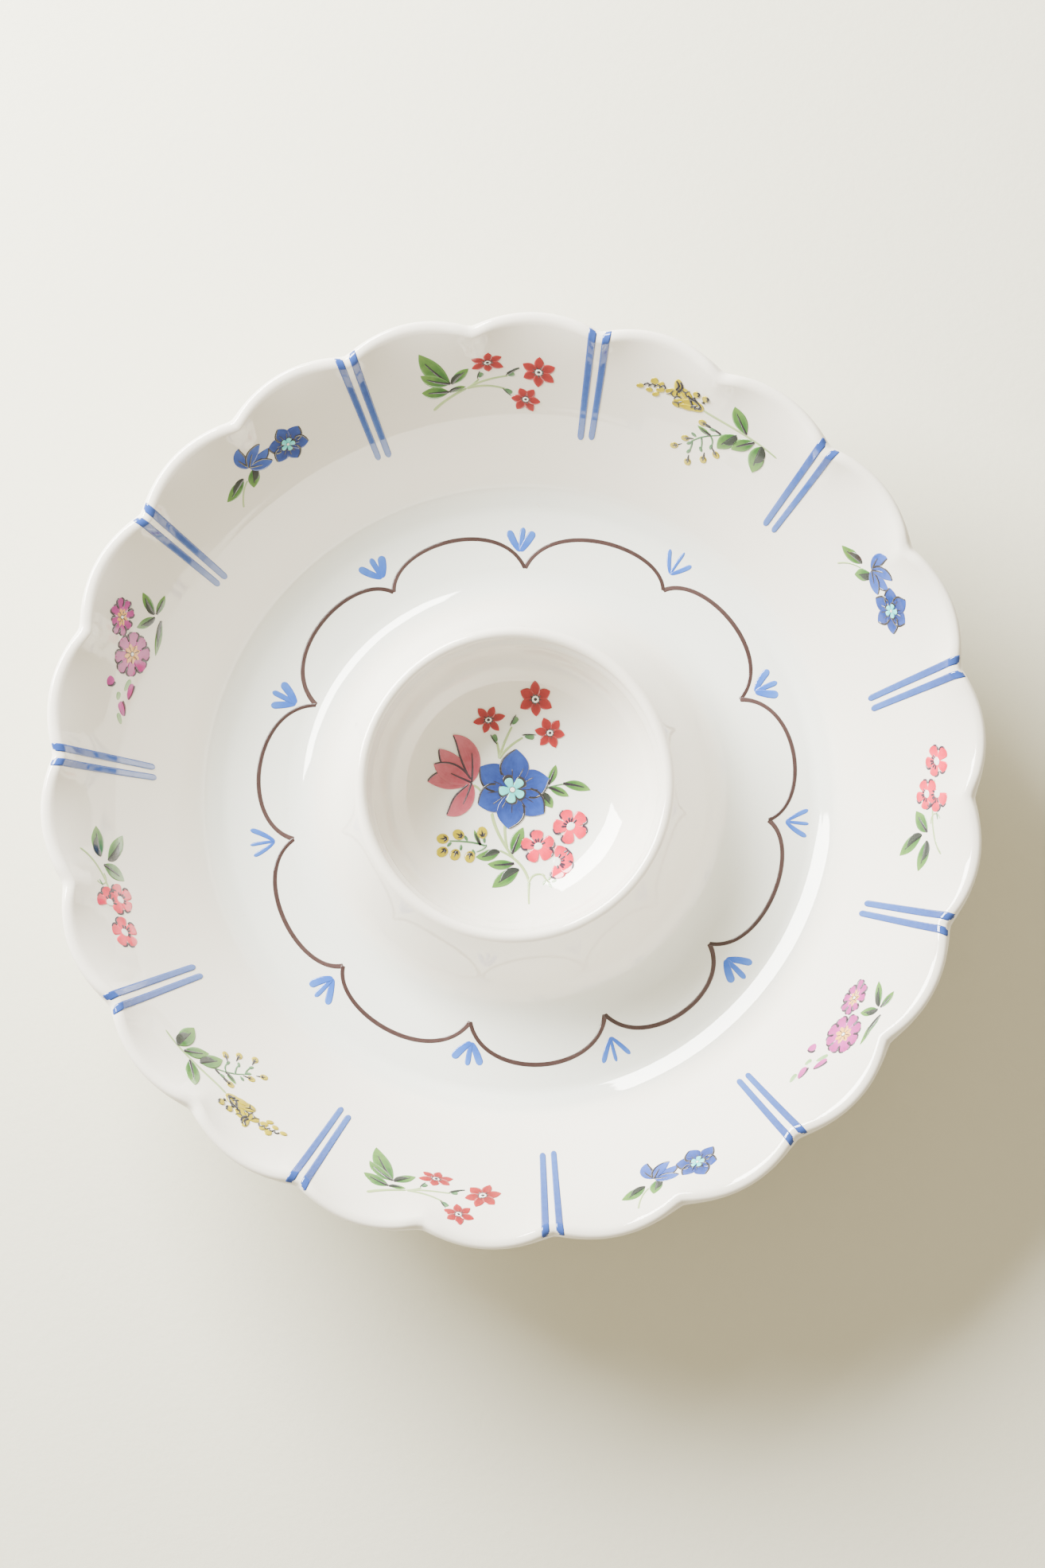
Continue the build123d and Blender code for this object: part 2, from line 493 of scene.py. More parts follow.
def turned(name, corners, shape=None):
    """A body of revolution from (radius, height, rounding) corners in metres."""
    mesh = bmesh.new()
    pen = mesh.verts.new((corners[0][0], 0, corners[0][1]))
    for leg in legs_of(corners):
        pen = draw_leg(mesh, pen, leg)
    about = {"cent": (0, 0, 0), "axis": (0, 0, 1)}
    bmesh.ops.spin(mesh, geom=mesh.verts[:] + mesh.edges[:], angle=lobe_turn, steps=steps_per_lobe,
                   use_duplicate=False, **about)
    bmesh.ops.spin(mesh, geom=mesh.verts[:] + mesh.edges[:] + mesh.faces[:], angle=2 * pi,
                   steps=lobes, use_duplicate=True, **about)
    bmesh.ops.remove_doubles(mesh, verts=mesh.verts[:], dist=weld)
    if shape:
        for point in mesh.verts:
            point.co = shape(point.co)
    bmesh.ops.recalc_face_normals(mesh, faces=mesh.faces[:])
    return shown(name, mesh)


print(f"{steps_per_lobe} steps to each lobe")


# %% Helpers that show a body and give it its place
smooth_below = radians(35)


def shown(name, mesh):
    """Turn a bmesh into a smooth object at the origin."""
    for face in mesh.faces:
        face.smooth = True
    data = bpy.data.meshes.new(name)
    mesh.to_mesh(data)
    mesh.free()
    data.set_sharp_from_angle(angle=smooth_below)
    made = bpy.data.objects.new(name, data)
    bpy.context.scene.collection.objects.link(made)
    return made


def stands_for(piece, material, slot, *nodes):
    """Give a piece its finish and its place on the body, and hide the CAD nodes it shows."""
    piece.data.materials.append(material)
    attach(piece, "root")
    if nodes:
        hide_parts(*nodes)
    print(f"{piece.name}: {len(piece.data.polygons)} faces")
    return piece


print(f"edges that turn less than {smooth_below:.2f} radians look smooth")

# %% [markdown]
# ## Pressing the scallops
# The thrown rim is pressed in at 22 places while the clay is soft. Each lobe is a shallow
# curve, each notch is a small soft valley that also drops a little, and the pressing fades
# out down the wall. A hand does not press all lobes alike, so each gets its own depth.

# %% The pressing, as one function of a place on the dish
scallop_depth = 5.5 * mm
scallop_fade = 26 * mm
scallop_full_height = rim_top - 0.8 * mm
press_fading = 3.6
notch_softness = 0.04
notch_drop = 1.0 * mm
notch_drop_width = 0.16
hand = random.Random(22)
lobe_shortfall = [hand.uniform(0.0, 0.5) * mm for _ in range(lobes)]


def press(point):
    """Where a point of the plain turned dish goes when the rim has been pressed."""
    radius = hypot(point.x, point.y)
    share = (point.z - rim_top + scallop_fade) / (scallop_full_height - rim_top + scallop_fade)
    if share <= 0 or radius < joint_radius:
        return point
    pressed = min(share, 1.0) ** press_fading
    across = (atan2(point.y, point.x) - first_notch) / lobe_turn % lobes
    from_notch = 1 - abs(2 * (across % 1) - 1)
    softened = sqrt(from_notch ** 2 + notch_softness ** 2) - notch_softness
    softened /= sqrt(1 + notch_softness ** 2) - notch_softness
    bulge = 2 * softened - softened ** 2
    out = scallop_depth * (bulge - 0.5) - lobe_shortfall[int(across) % lobes] * bulge
    drop = notch_drop * exp(-(from_notch / notch_drop_width) ** 2)
    scale = 1 + out * pressed / radius
    return Vector((point.x * scale, point.y * scale, point.z - drop * pressed))


print(f"{lobes} lobes, {scallop_depth / mm} mm deep")

# %% [markdown]
# ## The dish
# Flat well floor, a softly stepped corner, a straight flared wall and a full round lip. Its
# inner edge is where the foot of the bowl begins, so the two pieces meet face to face.

# %% Turn the dish
lip_outer_rounding = 2.04 * mm
lip_inner_rounding = 4.2 * mm
clay = well_floor - underside
wall_angle = radians(48)
well_floor_radius = 112 * mm
well_edge_rounding = 9 * mm
well_edge_radius = 116.9 * mm
wall_foot_radius = 125.2 * mm
wall_foot = well_floor + 3.78 * mm
under_corner_rounding = 22 * mm + clay
under_corner_radius = well_floor_radius + under_corner_rounding * tan(wall_angle / 2)
lip_outer_radius = 183.95 * mm
lip_inner_radius = 177.5 * mm

dish_top = [
    (well_edge_radius, well_floor, well_edge_rounding),
    (wall_foot_radius, wall_foot, well_edge_rounding),
    (lip_inner_radius, rim_top, lip_inner_rounding),
    (lip_outer_radius, rim_top, lip_outer_rounding),
    (under_corner_radius, underside, under_corner_rounding),
]
joint_top = (joint_radius, well_floor, 0)
dish_outline = [joint_top] + dish_top + [(joint_radius, underside, 0), joint_top]
dish = turned("scalloped_dish", dish_outline, press)
stands_for(dish, glaze, "white_glaze", "platter")

# %% [markdown]
# ## The dip bowl
# A round-bottomed cup with a thick soft lip. Outside, its wall runs down and sweeps out
# into the floor of the dish. The clay is the same thickness all the way, so from below the
# bowl is hollow between the cup and the skirt.

# %% Turn the dip bowl
bowl_lip_rounding = 2.6 * mm
bowl_lip_outside = 63 * mm
bowl_lip_inside = bowl_lip_outside - 2 * bowl_lip_rounding
cup_floor = 16 * mm
cup_rounding = 31 * mm
cup_radius = 56 * mm
cup_turn_ends = cup_floor + cup_rounding
flank_angle = radians(66)
flare_rounding = 21 * mm
hollow_top = 29 * mm
hollow_rounding = 1.5 * mm

flank_bend = tan(flank_angle / 2)
lip_corner = bowl_lip_outside - bowl_lip_rounding * (1 - flank_bend)
flare_corner = joint_radius - flare_rounding * flank_bend
hollow_flare = flare_rounding + clay
hollow_corner = joint_radius - hollow_flare * flank_bend
hollow_outside = hollow_corner - (hollow_top - underside) / tan(flank_angle)
back_rounding = cup_rounding + clay
back_middle = cup_radius - cup_rounding
back_turn = acos((cup_turn_ends - hollow_top) / back_rounding)

bowl_top_side = [
    (0, cup_floor, 0),
    (cup_radius, cup_floor, cup_rounding),
    (cup_radius, cup_turn_ends, 0),
    (bowl_lip_inside, bowl_top - bowl_lip_rounding, 0),
    (bowl_lip_inside, bowl_top, bowl_lip_rounding),
    (lip_corner, bowl_top, bowl_lip_rounding),
    (flare_corner, well_floor, flare_rounding),
    (joint_radius, well_floor, 0),
]
bowl_under_side = [
    (joint_radius, underside, 0),
    (hollow_corner, underside, hollow_flare),
    (hollow_outside, hollow_top, hollow_rounding),
    (back_middle + back_rounding * sin(back_turn), hollow_top, hollow_rounding),
    (back_middle + back_rounding * tan(back_turn / 2), bowl_underside, back_rounding),
    (0, bowl_underside, 0),
]
bowl = turned("glazed_dip_bowl", bowl_top_side + bowl_under_side)
stands_for(bowl, glaze, "white_glaze", "dip_bowl", "bowl_skirt")

# %% [markdown]
# ## The foot rings
# Two plain rings turned on the underside, with their edges taken off so that they do not
# chip or scratch the table.

# %% Turn the foot rings
foot_edge = 1.5 * mm
outer_foot_width = 10 * mm
inner_foot_width = 7 * mm


def foot_ring(name, high_corner, width, node):
    """A ring as wide as given, whose outer radius and top are the measured ones."""
    outer, top = high_corner.x, high_corner.z
    inner = outer - width
    corners = [(inner, top, 0), (inner, 0, foot_edge), (outer, 0, foot_edge), (outer, top, 0),
               (inner, top, 0)]
    return stands_for(turned(name, corners), stoneware, "bare_stoneware", node)


foot_ring("outer_foot", outer_foot_high, outer_foot_width, "outer_foot_ring")
foot_ring("inner_foot", inner_foot_high, inner_foot_width, "inner_foot_ring")

# %% [markdown]
# ## Where paint can lie
# The colours are brushed on before the clear glaze, so they follow every curve of the
# clay. The glazed face is one path from the middle of the bowl, up over its lip, down to
# the well and out over the rim. A place on it is a distance along that path and an angle
# round the axis, and the same pressing that shaped the dish moves the paint too.

# %% The glazed face as one path
# The path goes on a little way down the outside, for the bars that begin over the lip.
outside_edge = (lip_outer_radius - 12 * mm, rim_top - 13.6 * mm, 0)
face_legs = legs_of(bowl_top_side + dish_top[:4] + [outside_edge])
face_length = sum(leg[0] for leg in face_legs)


def on_face(along, angle, lift):
    """The point at a distance along the face and an angle round it, lifted off the clay."""
    for leg in face_legs:
        if along <= leg[0] or leg is face_legs[-1]:
            break
        along -= leg[0]
    spot, direction = leg_point(leg, along)
    radius = spot.x - sin(direction) * lift
    height = spot.y + cos(direction) * lift
    return press(Vector((radius * cos(angle), radius * sin(angle), height)))


print(f"the glazed face is {face_length / mm:.0f} mm from the middle to the rim")


# %% Survey the face
survey_step = 0.25 * mm
survey = [on_face(i * survey_step, pi / lobes, 0) for i in range(int(face_length / survey_step))]
survey_radius = [hypot(point.x, point.y) for point in survey]
widest = survey_radius.index(max(survey_radius))


def along_to(radius):
    """How far along the face this radius is first reached."""
    after = min(max(bisect_left(survey_radius, radius, 0, widest), 1), widest)
    inner, outer = survey_radius[after - 1], survey_radius[after]
    share = (radius - inner) / (outer - inner) if outer > inner else 0
    return (after - 1 + share) * survey_step


print(len(survey), "marks along the face")

# %% [markdown]
# ## Laying a drawing on the face
# A drawing has its own x and y in millimetres. On the wall its y axis points up the wall,
# so the paint is laid by distance along the clay and does not stretch. On the well and in
# the bowl it is laid as seen from above.

# %% Two ways of laying a drawing on the face
wall_spread = 0.67


def on_wall(radius, angle, turn):
    """Lay a drawing on the wall: its y axis points up the wall, its x axis clockwise."""
    middle = along_to(radius)

    def laid(x, y):
        across = (x * cos(turn) - y * sin(turn)) * mm
        along = middle + (x * sin(turn) + y * cos(turn)) * mm
        return along, angle - across / (radius + (along - middle) * wall_spread)
    return laid


def from_above(turn, aside=(0, 0)):
    """Lay a drawing as seen from above, turned about the axis and shifted in mm."""
    def laid(x, y):
        x, y = x + aside[0], y + aside[1]
        return along_to(hypot(x, y) * mm), atan2(y, x) + turn
    return laid


picture_turn = view_turn - pi / 2
print("drawings can be laid")

# %% [markdown]
# ## One brush stroke
# A stroke is a small grid. Its first direction follows a curve through a few control
# points, and its second spreads to the width of the brush there. Rounded ends and a notch
# at the tip turn the same grid into a bar, a leaf, a petal, a dot or an ink line. Each
# stroke lies a few thousandths of a millimetre over the one before it, as real layers of
# pigment do, and a Solidify modifier gives the whole film a thickness that reaches down
# into the glaze. Its rim is kept sharp, so that the top of the film lies as flat as the
# clay. The stroke keeps its own UV map: along and across.

# %% Curves, sides and ends
def curve(controls, share):
    """A point, or a number, on the smooth curve that a few controls pull on."""
    if callable(controls):
        return controls(share)
    controls = [Vector(c) if isinstance(c, tuple) else c for c in controls]
    while len(controls) > 1:
        controls = [a + (b - a) * share for a, b in zip(controls, controls[1:])]
    return controls[0]


def measured(spine):
    """The length of a curve, in the unit of its points."""
    marks = [curve(spine, step / 8) for step in range(9)]
    return sum((b - a).length for a, b in zip(marks, marks[1:]))


def leftwards(spine, share):
    """The direction to the left of a curve, at a share of the way along it."""
    step = curve(spine, min(share + 0.01, 1.0)) - curve(spine, max(share - 0.01, 0.0))
    return Vector((-step.y, step.x)).normalized()


def beside(start, end, share, side=0.0):
    """A point part of the way from start to end, and some way to the left of that line."""
    start, end = Vector(start), Vector(end)
    run = end - start
    left = Vector((-run.y, run.x)).normalized()
    point = start + run * share + left * side
    return point.x, point.y


def ends(share, tips):
    """How much of its width a stroke keeps near its rounded ends."""
    first, last = tips
    kept = 1.0
    if share < first:
        kept *= sqrt(max(0.0, 1 - (1 - share / first) ** 2))
    if share > 1 - last:
        kept *= sqrt(max(0.0, 1 - ((share - 1 + last) / last) ** 2))
    return kept


print(f"a quarter curve is {measured([(0, 0), (1, 0), (1, 1)]):.2f} long")

# %% [markdown]
# ## A painting
# All the strokes of one motif share a mesh and become one piece. The painting counts them,
# so that each lies over the last, and keeps its own seeded slips of the hand. Every stroke
# is `create_grid`, laid point by point on the glazed face.

# %% The painting helper
first_lift = 0.02 * mm
lift_step = 0.005 * mm
film_thickness = 0.6 * mm
largest_cell = 0.9


class Painting:
    """Brush strokes that together make one painted piece."""

    def __init__(self, name, laid, lift=first_lift):
        self.name = name
        self.laid = laid
        self.lift = lift
        self.floor = 0
        self.layer = 0
        self.mesh = bmesh.new()
        self.share = self.mesh.loops.layers.uv.new("stroke")
        self.pigments = []
        self.strokes = 0
        self.hand = random.Random(name)

    def motif(self):
        """Begin a leaf or a flower, over all the stems and just over the one before it."""
        self.floor = self.floor + 2 if self.floor else self.layer
        self.layer = self.floor

    def wander(self, amount):
        """A small seeded slip of the hand."""
        return self.hand.uniform(-amount, amount)

    def stroke(self, pigment, spine, widths, tips=(0.1, 0.1), notch=0.0):
        """One stroke, with half widths in mm at the controls of its spine."""
        lift = self.lift + self.layer * lift_step
        self.layer += 1
        self.strokes += 1
        along = ceil(1.5 * measured(spine) / largest_cell) + 4
        across = ceil(2 * max(widths) / largest_cell) + 1
        grid = bmesh.ops.create_grid(self.mesh, x_segments=along, y_segments=across, size=1)
        places = {}
        for vert in grid["verts"]:
            share = (1 - cos(pi * (vert.co.x + 1) / 2)) / 2
            side = vert.co.y
            places[vert] = (share, (side + 1) / 2)
            reach = share - notch * share ** 3 * max(0.0, 1 - abs(side) / 0.6)
            width = curve(widths, share) * ends(share, tips)
            point = curve(spine, reach) + leftwards(spine, reach) * (width * side)
            vert.co = on_face(*self.laid(point.x, point.y), lift)
        self.dress(grid["verts"], places, pigment)

    def dress(self, verts, places, pigment):
        """Give a new stroke its sharp rim, its pigment and its own UV map."""
        if pigment not in self.pigments:
            self.pigments.append(pigment)
        for edge in {edge for vert in verts for edge in vert.link_edges}:
            edge.smooth = not edge.is_boundary
        for face in {face for vert in verts for face in vert.link_faces}:
            face.material_index = self.pigments.index(pigment)
            for loop in face.loops:
                loop[self.share].uv = places[loop.vert]

    def line(self, pigment, spine, start=0.5, end=0.2):
        """A thin line that grows finer, with half widths in mm."""
        self.stroke(pigment, spine, (start, start, end), (0.04, 0.04))

    def blot(self, pigment, centre, long, short=None, turn=0.0):
        """A round or oval touch of the brush."""
        reach = Vector((cos(turn), sin(turn))) * long
        centre = Vector(centre)
        spine = [tuple(centre - reach), tuple(centre + reach)]
        self.stroke(pigment, spine, (short or long,), (0.5, 0.5))

    def finished(self, slot):
        """Make the piece, give it its pigments and let it ride with the dish."""
        piece = shown(self.name, self.mesh)
        for pigment in self.pigments:
            piece.data.materials.append(pigment)
        film = piece.modifiers.new("film", "SOLIDIFY")
        film.thickness = film_thickness
        film.offset = -1
        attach(piece, "root")
        print(f"{self.name}: {self.strokes} strokes")
        return piece


print(f"each stroke lies {lift_step / mm} mm over the last")

# %% [markdown]
# ## Pigments
# Underglaze colour is thin and watery. Along a stroke it runs from full to thin, streaks
# follow the hairs of the brush, and it gathers or fades at the edges. So each pigment
# reads the stroke's own UV map. Over it lies the same clear, faintly rippled glaze as
# everywhere else, so the shine runs on unbroken.

# %% Mix the pigments
def pigment(name, full, thin, edge, edge_share=0.5, streak=0.5):
    """A colour that runs from full to thin, with its own colour at the edges."""
    finish = Finish(name)
    where = finish.place()
    stroke = finish.node("ShaderNodeUVMap", {"uv_map": "stroke"})
    along, across, _ = finish.axes(stroke)
    hairs = finish.node("ShaderNodeCombineXYZ", sockets={0: along * 1.5, 1: across * 7.0})
    streaks = finish.noise(hairs, 1.6, 2.0) - 0.5
    cloud = finish.noise(where, 420.0, 2.0) - 0.5
    water = finish.ramp(along, (0.25, 0.0), (1.0, 1.0))
    colour = finish.blend(water * 0.75 + streaks * streak + cloud * 0.7, full, thin)
    rim = finish.ramp(abs(across - 0.5) * 2.0, (0.62, 0.0), (1.0, 1.0))
    colour = finish.blend(rim * edge_share, colour, edge)
    return finish.finished(glazed(finish, where, colour))


bar_blue = pigment("bar_blue", (0.020, 0.062, 0.28), (0.046, 0.125, 0.42), (0.02, 0.06, 0.26))
sprig_blue = pigment("sprig_blue", (0.020, 0.10, 0.50), (0.06, 0.18, 0.60), (0.02, 0.09, 0.46))
line_brown = pigment("line_brown", (0.040, 0.020, 0.020), (0.075, 0.042, 0.042), (0.04, 0.02, 0.02))
petal_blue = pigment("petal_blue", (0.009, 0.030, 0.18), (0.027, 0.078, 0.38), (0.012, 0.03, 0.18))
tulip_blue = pigment("tulip_blue", (0.02, 0.06, 0.31), (0.05, 0.12, 0.50), (0.02, 0.06, 0.28))
turquoise = pigment("turquoise", (0.07, 0.58, 0.58), (0.14, 0.74, 0.74), (0.05, 0.46, 0.50))
star_red = pigment("star_red", (0.23, 0.013, 0.018), (0.42, 0.022, 0.026), (0.50, 0.06, 0.06))
tulip_rose = pigment("tulip_rose", (0.34, 0.050, 0.085), (0.54, 0.14, 0.19), (0.50, 0.11, 0.15))
coral = pigment("coral", (0.80, 0.030, 0.080), (0.50, 0.008, 0.035), (0.85, 0.050, 0.10), 0.5, 0.8)
mauve = pigment("mauve", (0.47, 0.055, 0.30), (0.33, 0.026, 0.19), (0.44, 0.05, 0.28), 0.3, 0.8)
apricot = pigment("apricot", (0.80, 0.42, 0.06), (0.70, 0.30, 0.16), (0.74, 0.34, 0.20))
yellow = pigment("yellow", (0.42, 0.34, 0.002), (0.31, 0.23, 0.002), (0.48, 0.41, 0.006))
leaf_green = pigment("leaf_green", (0.030, 0.12, 0.022), (0.14, 0.28, 0.055), (0.13, 0.29, 0.075), 0.7)
leaf_shadow = pigment("leaf_shadow", (0.020, 0.026, 0.024), (0.03, 0.045, 0.035), (0.03, 0.045, 0.035))
stem_green = pigment("stem_green", (0.36, 0.47, 0.20), (0.24, 0.37, 0.14), (0.44, 0.54, 0.28))
bud_pale = pigment("bud_pale", (0.22, 0.40, 0.15), (0.34, 0.50, 0.24), (0.30, 0.48, 0.22))
bud_green = pigment("bud_green", (0.05, 0.14, 0.06), (0.13, 0.26, 0.11), (0.08, 0.19, 0.08))
ink = pigment("ink", (0.016, 0.015, 0.020), (0.028, 0.025, 0.033), (0.02, 0.02, 0.025), 0.3)
plum = pigment("plum", (0.035, 0.016, 0.032), (0.06, 0.03, 0.05), (0.05, 0.025, 0.045), 0.3)
reserve = pigment("reserve", (0.84, 0.83, 0.80), (0.86, 0.84, 0.80), (0.80, 0.79, 0.76), 0.3, 0.1)
print(len(bpy.data.materials), "finishes so far")

# %% [markdown]
# ## Blue bars
# Eleven pairs of bars run from over the lip down the wall, one pair at every other notch.
# They are wider at the rim, where the loaded brush first touches, and the two lean
# together as they go down. Every bar is a little different.

# %% Paint the bars
pairs = lobes // 2
pair_turn = 2 * pi / pairs
bar_top_radius = 177.0 * mm
bar_down = 53.5
bar_over_lip = 10.5
bar_lift = 0.12 * mm
bar_half_width = 1.5
gap_at_rim = 2.95
gap_at_end = 2.05


def bar_pair(number):
    """Two bars over one notch of the rim."""
    laid = on_wall(bar_top_radius, first_notch + number * pair_turn, 0)
    painting = Painting(f"bar_pair_{number + 1:02d}", laid, bar_lift)
    lean = painting.wander(0.7)
    for side in (-1, 1):
        top = (side * (gap_at_rim + painting.wander(0.15)), bar_over_lip + painting.wander(0.6))
        down = (side * (gap_at_end + painting.wander(0.2)) + lean, -bar_down + painting.wander(1.6))
        middle = beside(top, down, 0.5, painting.wander(0.35))
        half = bar_half_width + painting.wander(0.08)
        widths = (half * 1.05, half, half * 0.88, half * 0.8)
        painting.stroke(bar_blue, [top, middle, down], widths, (0.015, 0.035))
    return painting.finished("blue_underglaze")


for number in range(pairs):
    bar_pair(number)

# %% [markdown]
# ## The brown scalloped line
# A liner brush draws eleven loops round the well. Their points come near the foot of the
# bowl at uneven places, because the line is drawn by eye on a turning wheel. Each loop
# starts with some pressure and ends fine.

# %% Paint the brown line
line_centre = (2.1, 0.5)
cusps = [(19, 94), (51, 99.5), (84.6, 92), (117, 97.7), (150.5, 90.7), (185, 92.7), (218, 98),
         (251.5, 92), (285, 92.5), (316, 94), (349, 97.3)]
loop_pull = 114.5
line_half_width = 0.9


def spot(angle, radius):
    """A point of a drawing from an angle in degrees and a radius."""
    return radius * cos(radians(angle)), radius * sin(radians(angle))


def brown_line():
    """Eleven loops, from point to point round the well."""
    painting = Painting("brown_scallop_line", from_above(0, line_centre))
    once_round = (cusps[0][0] + 360, cusps[0][1])
    for (start, start_radius), (end, end_radius) in zip(cusps, cusps[1:] + [once_round]):
        span = end - start
        pulls = [loop_pull + painting.wander(1.4) for _ in range(2)]
        loop = [spot(start, start_radius), spot(start + span * 0.15, pulls[0]),
                spot(start + span * 0.85, pulls[1]), spot(end, end_radius)]
        half = line_half_width + painting.wander(0.06)
        widths = (half * 0.9, half * 0.7, half * 1.4, half * 0.6, half * 1.1)
        painting.stroke(line_brown, loop, widths, (0.006, 0.006))
    return painting.finished("brown_underglaze")


brown_line()

# %% [markdown]
# ## Blue sprigs
# Outside every point of the line stand three short strokes that spread like a crow's
# foot. Some are thin and clear, others have run together into one fat blot.

# %% Paint the sprigs
sprig_spots = [(84.4, 105.0), (50.8, 113.6), (19.0, 108.3), (349.4, 111.5), (316.4, 109.6),
               (285.4, 107.2), (253.8, 104.2), (219.1, 107.8), (184.2, 103.6), (151.0, 102.2),
               (116.4, 110.0)]
thin_sprigs = (1, 3, 5, 8)


def sprig(number, angle, radius):
    """Three strokes that spread outwards from one foot."""
    turn = radians(angle) - pi / 2
    painting = Painting(f"blue_sprig_{number + 1:02d}", from_above(turn, (0, radius)))
    fat = 0.95 if number in thin_sprigs else 1.5
    lean = painting.wander(0.6)
    foot = (lean, -5.4)
    for x, y, width in ((-5.2, 3.2, 0.95), (0.4, 4.6, 0.75), (5.1, 2.8, 1.05)):
        tip = (x + painting.wander(0.8), y + painting.wander(0.8))
        bend = beside(foot, tip, 0.45, painting.wander(0.5) - 0.12 * x)
        half = fat * width
        painting.stroke(sprig_blue, [foot, bend, tip], (half * 0.55, half * 1.2, half), (0.12, 0.16))
    return painting.finished("blue_underglaze")


for number, (angle, radius) in enumerate(sprig_spots):
    sprig(number, angle, radius)

# %% [markdown]
# ## Leaves, petals and centres
# The flowers are plain garden flowers, built from a few habits of the brush. A leaf is
# one green stroke with an ink vein, and often a dark half. A petal is a stroke from the
# centre outwards, pointed, round or notched, and an ink line may follow one of its sides.

# %% Habits of the brush
pointed = (0.35, 1.25, 1.35, 0.0)
rounded = (0.4, 0.85, 1.25, 1.15)
ovate = (0.4, 1.3, 1.6, 0.0)
frilled = (0.3, 0.6, 1.3, 1.1)


def leaf(painting, base, tip, half, bow=0.0, dark=0):
    """A leaf that bows to one side, with a vein, and a dark half on the side given."""
    painting.motif()
    spine = [base, beside(base, tip, 0.35, bow), beside(base, tip, 0.7, bow), tip]
    painting.stroke(leaf_green, spine, (0.15, half * 1.5, half * 1.3, 0.0), (0.02, 0.02))
    vein = [base, beside(base, tip, 0.3, bow * 0.9), beside(base, tip, 0.76, bow * 0.8)]
    painting.line(ink, vein, 0.57, 0.22)
    if dark:
        shade = [base, beside(base, tip, 0.3, bow + dark * half * 0.95), beside(base, tip, 0.66, bow)]
        painting.stroke(leaf_shadow, shade, (0.2, half * 0.95, 0.05), (0.02, 0.02))


def around(centre, angle, reach, flat=1.0, lean=0.0):
    """A point round a centre, on a circle that may be flattened across a leaning axis."""
    along = reach * cos(angle - lean)
    across = reach * sin(angle - lean) * flat
    return (centre[0] + along * cos(lean) - across * sin(lean),
            centre[1] + along * sin(lean) + across * cos(lean))


def ink_edge(painting, paint, spine, widths, tip_round, side, start=0.25):
    """A fine line along one side of a petal, from a share of its length to near its tip."""
    def edge(share):
        place = start + (0.99 - start) * share
        width = curve(widths, place) * ends(place, (0.05, tip_round))
        return curve(spine, place) + leftwards(spine, place) * (side * width)
    painting.line(paint, edge, 0.44, 0.29)


print("the brush knows its habits")

# %% [markdown]
# ## One bloom
# Every flower here is rings of petals and rings of dashes round a centre. A `Bloom` keeps
# where the flower stands, how far it is turned, and how it is flattened when it is drawn
# as if it faced a little away, so that each ring follows the same oval.

# %% The bloom helper
class Bloom:
    """A flower's centre and turn, and how it is flattened across a leaning axis."""

    def __init__(self, painting, centre, turn=0.0, flat=1.0, lean=0.0):
        self.painting = painting
        self.centre = centre
        self.turn = turn
        self.flat = flat
        self.lean = lean
        painting.motif()

    def point(self, angle, reach):
        """A point of the flower, at an angle and a distance from its centre."""
        return around(self.centre, angle, reach, self.flat, self.lean)

    def widened(self, tip, length):
        """How much wider or narrower a petal is drawn when the flower is flattened."""
        seen = hypot(tip[0] - self.centre[0], tip[1] - self.centre[1]) / length
        return 1 if self.flat == 1 else 1.22 - 0.5 * seen

    def petals(self, paint, reach, count, half, shape, further=0.0, spread=2 * pi, root=0.12,
               tip_round=0.02, notch=0.0):
        """A ring of petals, or part of one. Returns what their edges need to know."""
        drawn = []
        for number in range(count):
            angle = self.turn + further + number * spread / count + self.painting.wander(0.07)
            length = reach * (1 + self.painting.wander(0.07))
            start = self.point(angle, reach * root)
            tip = self.point(angle, length)
            wide = half * (1 + self.painting.wander(0.08)) * self.widened(tip, length)
            spine = [start, beside(start, tip, 0.5, self.painting.wander(0.25)), tip]
            widths = [wide * share for share in shape]
            self.painting.stroke(paint, spine, widths, (0.05, tip_round), notch)
            drawn.append((spine, widths, tip_round))
        return drawn

    def inked(self, drawn, paint, start=0.25, both=False):
        """Follow one side of every petal, or both, with a fine line."""
        for number, (spine, widths, tip_round) in enumerate(drawn):
            side = 1 if number % 3 else -1
            for way in (side, -side) if both else (side,):
                ink_edge(self.painting, paint, spine, widths, tip_round, way, start)

    def ticks(self, paint, inner, outer, count, further=0.0, spread=2 * pi, half=0.2):
        """Short dashes that stand round the centre, as stamens do."""
        for number in range(count):
            angle = self.turn + further + spread * number / count + self.painting.wander(0.1)
            reach = outer * (1 + self.painting.wander(0.15))
            dash = [self.point(angle, inner), self.point(angle, reach)]
            self.painting.stroke(paint, dash, (half * 1.1, half * 1.9), (0.2, 0.3))


print("a bloom has petals, inked edges and ticks")


# %% Red stars and blue flowers
def red_star(painting, centre, reach, turn, flat=1.0, lean=0.0):
    """A pointed red star with a white eye in a ring of dark stamens."""
    star = Bloom(painting, centre, turn, flat, lean)
    star.petals(star_red, reach, 6, reach * 0.29, pointed)
    painting.blot(ink, centre, reach * 0.25, reach * 0.24 * flat, lean)
    painting.blot(reserve, centre, reach * 0.20, reach * 0.19 * flat, lean)
    star.ticks(ink, reach * 0.17, reach * 0.33, 9, half=0.13)
    painting.blot(ink, centre, reach * 0.10, reach * 0.09)


